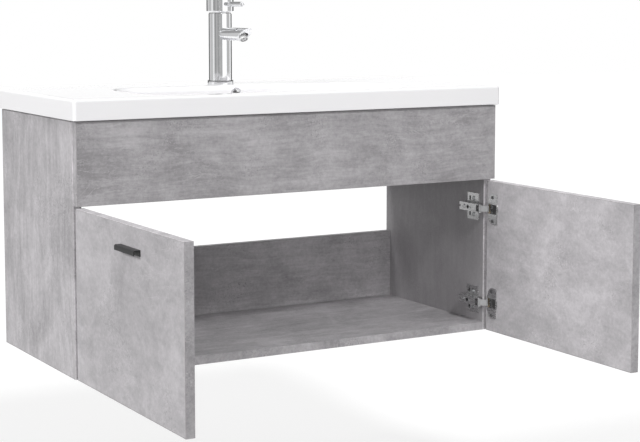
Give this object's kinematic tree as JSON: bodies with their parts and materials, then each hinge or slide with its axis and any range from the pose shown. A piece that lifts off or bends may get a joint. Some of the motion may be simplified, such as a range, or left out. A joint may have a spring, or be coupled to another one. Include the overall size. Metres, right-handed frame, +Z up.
{
  "type": "vanity unit",
  "caption": "Wall-hung vanity cabinet with an apron front, two side-hinged doors, an integrated ceramic basin, a push waste and a single-lever mixer tap.",
  "frame": {"origin": "on the wall plane, midway between the two wall bolts", "axes": "+X to the right seen from the front, +Y into the wall, +Z up; the front faces -Y"},
  "size_m": [0.925, 0.827, 0.679],
  "materials": {
    "concrete_board": "melamine-faced particle board with a matt grey concrete print",
    "beech": "fluted beech",
    "steel": "turned steel",
    "zinc": "bright zinc plate",
    "bracket_steel": "zinc-plated sheet steel",
    "nickel": "nickel-plated sheet",
    "handle_black": "satin black",
    "basin_ceramic": "white glaze",
    "cartridge_plastic": "moulded plastic",
    "aerator_plastic": "moulded grey plastic",
    "rubber": "black rubber",
    "chrome": "polished"
  },
  "bodies": {
    "cabinet": {"side_panel_left": "concrete_board", "side_panel_right": "concrete_board", "floor_panel": "concrete_board", "apron_panel": "concrete_board", "back_rail_lower": "concrete_board", "back_rail_upper": "concrete_board", "dowels": "beech", "cam_bolts": "steel", "cam_housings": "zinc", "hanging_bracket_left": "bracket_steel", "hanging_bracket_right": "bracket_steel", "bracket_screws": "zinc", "hinge_plates": "nickel", "hinge_arms": "nickel", "plate_screws": "zinc", "arm_clamp_screws": "nickel", "arm_adjusting_screws": "steel", "hinge_pins": "steel", "basin_ends": "basin_ceramic", "basin_front_rim": "basin_ceramic", "basin_ledges": "basin_ceramic", "basin_tap_land": "basin_ceramic", "basin_corners": "basin_ceramic", "bowl_tray": "basin_ceramic", "bowl_walls": "basin_ceramic", "bowl_ends": "basin_ceramic", "overflow_ring": "chrome", "waste_body": "chrome", "waste_seal": "rubber", "waste_nut": "zinc", "tap_base_ring": "chrome", "tap_body": "chrome", "tap_spout": "chrome", "aerator": "aerator_plastic", "cartridge": "cartridge_plastic", "cartridge_nut": "chrome", "tap_stud": "steel", "tap_gasket": "rubber", "tap_washer": "zinc", "tap_nut": "steel"},
    "door_left": {"door_left": "concrete_board", "handle_left": "handle_black", "handle_studs_left": "steel", "hinge_cups_left": "nickel", "cup_screws_left": "zinc"},
    "door_right": {"door_right": "concrete_board", "handle_right": "handle_black", "handle_studs_right": "steel", "hinge_cups_right": "nickel", "cup_screws_right": "zinc"},
    "hinge_links_left": {"hinge_link_left_lower": "nickel", "hinge_link_left_upper": "nickel"},
    "hinge_links_right": {"hinge_link_right_lower": "nickel", "hinge_link_right_upper": "nickel"},
    "plug": {"waste_plug": "chrome"},
    "tap_turret": {"lever_turret": "zinc"},
    "tap_lever": {"lever_stem": "zinc", "lever_head": "chrome", "lever_rod": "chrome"}
  },
  "joints": [
    {"name": "door_right_swing", "type": "hinge", "parent": "cabinet", "child": "door_right", "pos_m": [0.446, -0.383, -0.425], "axis": [0, 0, 1], "range_deg": [-90, 15]},
    {"name": "door_left_swing", "type": "hinge", "parent": "cabinet", "child": "door_left", "pos_m": [-0.446, -0.383, -0.425], "axis": [0, 0, -1], "range_deg": [-90, 15]},
    {"name": "links_right_turn", "type": "hinge", "parent": "cabinet", "child": "hinge_links_right", "pos_m": [0.42, -0.3745, -0.425], "axis": [0, 0, 1], "range_deg": [-8, 43]},
    {"name": "links_left_turn", "type": "hinge", "parent": "cabinet", "child": "hinge_links_left", "pos_m": [-0.42, -0.3745, -0.425], "axis": [0, 0, -1], "range_deg": [-8, 43]},
    {"name": "plug_push", "type": "slide", "parent": "cabinet", "child": "plug", "axis": [0, 0, 1], "range_m": [-0.009, 0]},
    {"name": "lever_turn", "type": "hinge", "parent": "cabinet", "child": "tap_turret", "pos_m": [0, -0.048, 0.212], "axis": [0, 0, 1], "range_deg": [-45, 45]},
    {"name": "lever_lift", "type": "hinge", "parent": "tap_turret", "child": "tap_lever", "pos_m": [0, -0.048, 0.212], "axis": [-1, 0, 0], "range_deg": [0, 22]}
  ],
  "couplings": [
    {"joint": "links_right_turn", "follows": "door_right_swing", "ratio": -0.4655},
    {"joint": "links_left_turn", "follows": "door_left_swing", "ratio": -0.4655}
  ]
}
